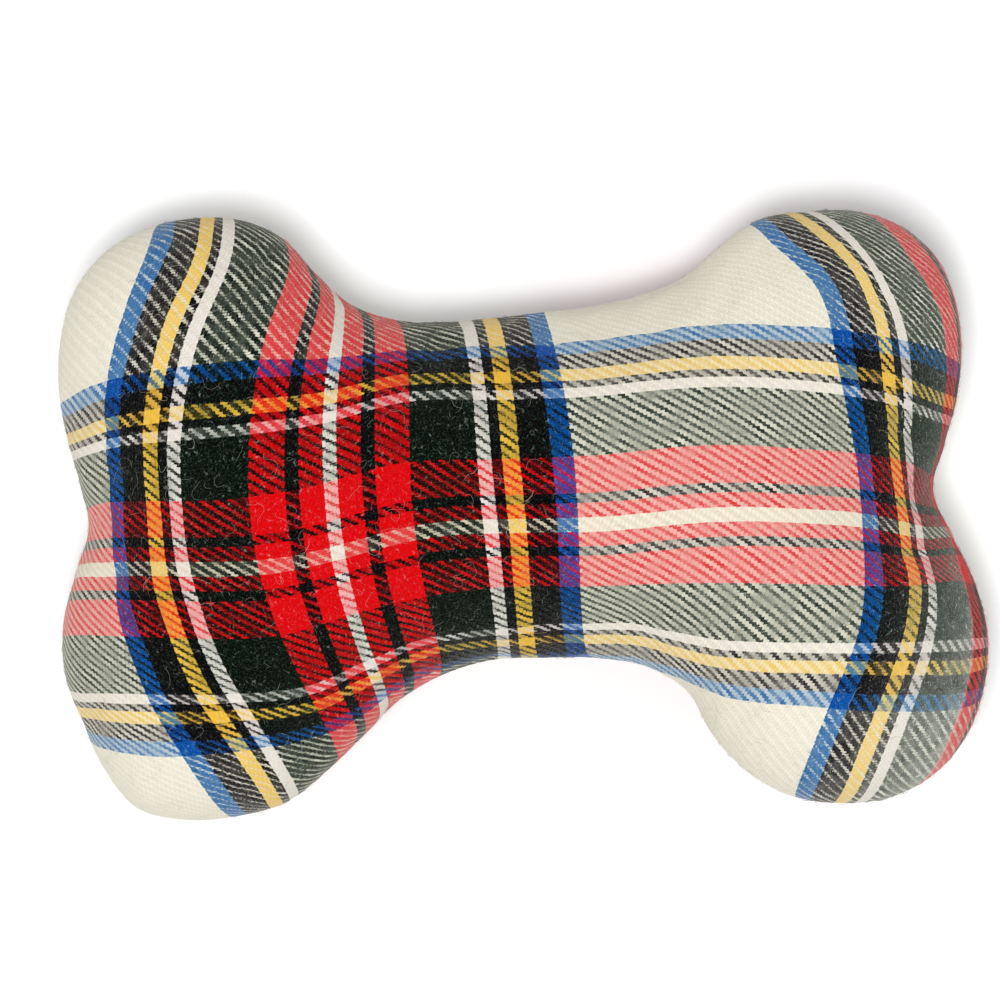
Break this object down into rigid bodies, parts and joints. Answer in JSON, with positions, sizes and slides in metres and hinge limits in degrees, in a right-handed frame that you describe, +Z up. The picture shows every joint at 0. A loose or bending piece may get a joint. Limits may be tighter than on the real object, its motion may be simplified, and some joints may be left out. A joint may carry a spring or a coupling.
{
  "type": "squeaky dog toy",
  "caption": "Stuffed bone-shaped dog toy in tartan flannel, sewn from a top and a bottom panel, with a press-to-squeak bladder in the middle of the shaft.",
  "frame": {"origin": "on the floor, below the middle of the toy's bounding box, with the toy lying on its lower panel", "axes": "+X along the bone towards its right end as pictured, +Y across the bone towards its rear edge (up in the picture), +Z up, towards the camera"},
  "size_m": [0.18, 0.118, 0.057],
  "materials": {
    "tartan_cloth": "brushed tartan flannel in red, black, green, blue, yellow and white on cream",
    "sewing_thread": "spun polyester sewing thread, off-white",
    "fibrefill": "loose white polyester fibre",
    "squeaker_bladder": "soft translucent blow-moulded polyethylene",
    "squeaker_plastic": "hard white moulded plastic",
    "reed_film": "thin clear polyester film"
  },
  "bodies": {
    "body": {"top_panel": "tartan_cloth", "bottom_panel": "tartan_cloth", "needle_thread": "sewing_thread", "bobbin_thread": "sewing_thread", "closing_thread": "sewing_thread", "filling_right_core": "fibrefill", "filling_right_rear_lobe": "fibrefill", "filling_right_front_lobe": "fibrefill", "filling_left_core": "fibrefill", "filling_left_rear_lobe": "fibrefill", "filling_left_front_lobe": "fibrefill", "filling_shaft_rear": "fibrefill", "filling_shaft_front": "fibrefill", "filling_bed": "fibrefill", "squeaker_bladder": "squeaker_bladder"},
    "press": {"filling_press_pad": "fibrefill", "squeaker_sleeve": "squeaker_plastic", "squeaker_reed_bed": "squeaker_plastic", "squeaker_reed_wedge": "squeaker_plastic"},
    "reed": {"squeaker_reed": "reed_film"}
  },
  "joints": [
    {"name": "squeeze", "type": "slide", "parent": "body", "child": "press", "axis": [0, 0, -1], "range_m": [0, 0.008], "stiffness_N_per_m": 900, "deforming": ["top_panel", "squeaker_bladder"]},
    {"name": "reed_flex", "type": "hinge", "parent": "press", "child": "reed", "pos_m": [-0.001, 0.005, 0.0343], "axis": [-1, 0, 0], "range_deg": [0, 4.5], "stiffness_Nm_per_rad": 0.002}
  ]
}
